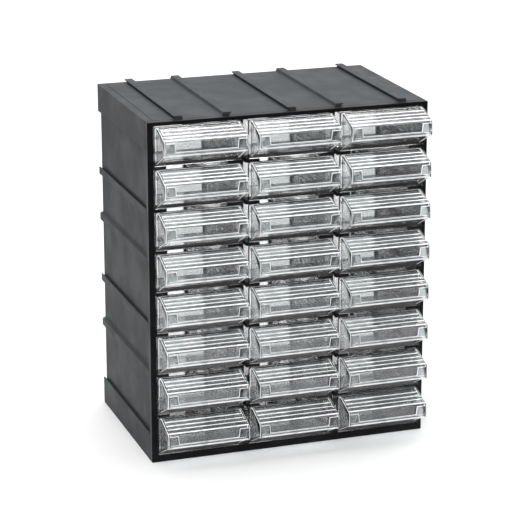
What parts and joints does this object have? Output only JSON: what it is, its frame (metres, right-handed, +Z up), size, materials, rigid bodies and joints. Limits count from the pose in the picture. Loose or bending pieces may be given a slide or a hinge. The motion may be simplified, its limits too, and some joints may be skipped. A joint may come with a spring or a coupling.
{
  "type": "parts organizer",
  "caption": "Free-standing dark cabinet of small clear drawers in columns and rows, with sloping pull handles, label pockets and coupling rails on its outer panels.",
  "frame": {"origin": "bottom centre of the bounding box of the closed cabinet, handles and rails included", "axes": "+Z up, +Y to the back, the drawers open towards -Y, +X to the right as seen from the front"},
  "size_m": [0.2358, 0.1736, 0.2825],
  "materials": {
    "case_panel": "fine satin moulded plastic",
    "case_core": "dark satin moulded plastic",
    "clear_drawer": "clear polished plastic"
  },
  "bodies": {
    "case": {"front_frame": "case_core", "left_side_panel": "case_panel", "right_side_panel": "case_panel", "top_panel": "case_panel", "bottom_panel": "case_panel", "back_frame": "case_panel", "column_partition_1": "case_core", "column_partition_2": "case_core", "shelf_under_row_1": "case_core", "shelf_under_row_2": "case_core", "shelf_under_row_3": "case_core", "shelf_under_row_4": "case_core", "shelf_under_row_5": "case_core", "shelf_under_row_6": "case_core", "shelf_under_row_7": "case_core"},
    "drawer_row_1_column_1": {"drawer_row_1_column_1": "clear_drawer"},
    "drawer_row_1_column_2": {"drawer_row_1_column_2": "clear_drawer"},
    "drawer_row_1_column_3": {"drawer_row_1_column_3": "clear_drawer"},
    "drawer_row_2_column_1": {"drawer_row_2_column_1": "clear_drawer"},
    "drawer_row_2_column_2": {"drawer_row_2_column_2": "clear_drawer"},
    "drawer_row_2_column_3": {"drawer_row_2_column_3": "clear_drawer"},
    "drawer_row_3_column_1": {"drawer_row_3_column_1": "clear_drawer"},
    "drawer_row_3_column_2": {"drawer_row_3_column_2": "clear_drawer"},
    "drawer_row_3_column_3": {"drawer_row_3_column_3": "clear_drawer"},
    "drawer_row_4_column_1": {"drawer_row_4_column_1": "clear_drawer"},
    "drawer_row_4_column_2": {"drawer_row_4_column_2": "clear_drawer"},
    "drawer_row_4_column_3": {"drawer_row_4_column_3": "clear_drawer"},
    "drawer_row_5_column_1": {"drawer_row_5_column_1": "clear_drawer"},
    "drawer_row_5_column_2": {"drawer_row_5_column_2": "clear_drawer"},
    "drawer_row_5_column_3": {"drawer_row_5_column_3": "clear_drawer"},
    "drawer_row_6_column_1": {"drawer_row_6_column_1": "clear_drawer"},
    "drawer_row_6_column_2": {"drawer_row_6_column_2": "clear_drawer"},
    "drawer_row_6_column_3": {"drawer_row_6_column_3": "clear_drawer"},
    "drawer_row_7_column_1": {"drawer_row_7_column_1": "clear_drawer"},
    "drawer_row_7_column_2": {"drawer_row_7_column_2": "clear_drawer"},
    "drawer_row_7_column_3": {"drawer_row_7_column_3": "clear_drawer"},
    "drawer_row_8_column_1": {"drawer_row_8_column_1": "clear_drawer"},
    "drawer_row_8_column_2": {"drawer_row_8_column_2": "clear_drawer"},
    "drawer_row_8_column_3": {"drawer_row_8_column_3": "clear_drawer"}
  },
  "joints": [
    {"name": "drawer_row_1_column_1_slide", "type": "slide", "parent": "case", "child": "drawer_row_1_column_1", "axis": [0, -1, 0], "range_m": [0, 0.115]},
    {"name": "drawer_row_1_column_2_slide", "type": "slide", "parent": "case", "child": "drawer_row_1_column_2", "axis": [0, -1, 0], "range_m": [0, 0.115]},
    {"name": "drawer_row_1_column_3_slide", "type": "slide", "parent": "case", "child": "drawer_row_1_column_3", "axis": [0, -1, 0], "range_m": [0, 0.115]},
    {"name": "drawer_row_2_column_1_slide", "type": "slide", "parent": "case", "child": "drawer_row_2_column_1", "axis": [0, -1, 0], "range_m": [0, 0.115]},
    {"name": "drawer_row_2_column_2_slide", "type": "slide", "parent": "case", "child": "drawer_row_2_column_2", "axis": [0, -1, 0], "range_m": [0, 0.115]},
    {"name": "drawer_row_2_column_3_slide", "type": "slide", "parent": "case", "child": "drawer_row_2_column_3", "axis": [0, -1, 0], "range_m": [0, 0.115]},
    {"name": "drawer_row_3_column_1_slide", "type": "slide", "parent": "case", "child": "drawer_row_3_column_1", "axis": [0, -1, 0], "range_m": [0, 0.115]},
    {"name": "drawer_row_3_column_2_slide", "type": "slide", "parent": "case", "child": "drawer_row_3_column_2", "axis": [0, -1, 0], "range_m": [0, 0.115]},
    {"name": "drawer_row_3_column_3_slide", "type": "slide", "parent": "case", "child": "drawer_row_3_column_3", "axis": [0, -1, 0], "range_m": [0, 0.115]},
    {"name": "drawer_row_4_column_1_slide", "type": "slide", "parent": "case", "child": "drawer_row_4_column_1", "axis": [0, -1, 0], "range_m": [0, 0.115]},
    {"name": "drawer_row_4_column_2_slide", "type": "slide", "parent": "case", "child": "drawer_row_4_column_2", "axis": [0, -1, 0], "range_m": [0, 0.115]},
    {"name": "drawer_row_4_column_3_slide", "type": "slide", "parent": "case", "child": "drawer_row_4_column_3", "axis": [0, -1, 0], "range_m": [0, 0.115]},
    {"name": "drawer_row_5_column_1_slide", "type": "slide", "parent": "case", "child": "drawer_row_5_column_1", "axis": [0, -1, 0], "range_m": [0, 0.115]},
    {"name": "drawer_row_5_column_2_slide", "type": "slide", "parent": "case", "child": "drawer_row_5_column_2", "axis": [0, -1, 0], "range_m": [0, 0.115]},
    {"name": "drawer_row_5_column_3_slide", "type": "slide", "parent": "case", "child": "drawer_row_5_column_3", "axis": [0, -1, 0], "range_m": [0, 0.115]},
    {"name": "drawer_row_6_column_1_slide", "type": "slide", "parent": "case", "child": "drawer_row_6_column_1", "axis": [0, -1, 0], "range_m": [0, 0.115]},
    {"name": "drawer_row_6_column_2_slide", "type": "slide", "parent": "case", "child": "drawer_row_6_column_2", "axis": [0, -1, 0], "range_m": [0, 0.115]},
    {"name": "drawer_row_6_column_3_slide", "type": "slide", "parent": "case", "child": "drawer_row_6_column_3", "axis": [0, -1, 0], "range_m": [0, 0.115]},
    {"name": "drawer_row_7_column_1_slide", "type": "slide", "parent": "case", "child": "drawer_row_7_column_1", "axis": [0, -1, 0], "range_m": [0, 0.115]},
    {"name": "drawer_row_7_column_2_slide", "type": "slide", "parent": "case", "child": "drawer_row_7_column_2", "axis": [0, -1, 0], "range_m": [0, 0.115]},
    {"name": "drawer_row_7_column_3_slide", "type": "slide", "parent": "case", "child": "drawer_row_7_column_3", "axis": [0, -1, 0], "range_m": [0, 0.115]},
    {"name": "drawer_row_8_column_1_slide", "type": "slide", "parent": "case", "child": "drawer_row_8_column_1", "axis": [0, -1, 0], "range_m": [0, 0.115]},
    {"name": "drawer_row_8_column_2_slide", "type": "slide", "parent": "case", "child": "drawer_row_8_column_2", "axis": [0, -1, 0], "range_m": [0, 0.115]},
    {"name": "drawer_row_8_column_3_slide", "type": "slide", "parent": "case", "child": "drawer_row_8_column_3", "axis": [0, -1, 0], "range_m": [0, 0.115]}
  ]
}
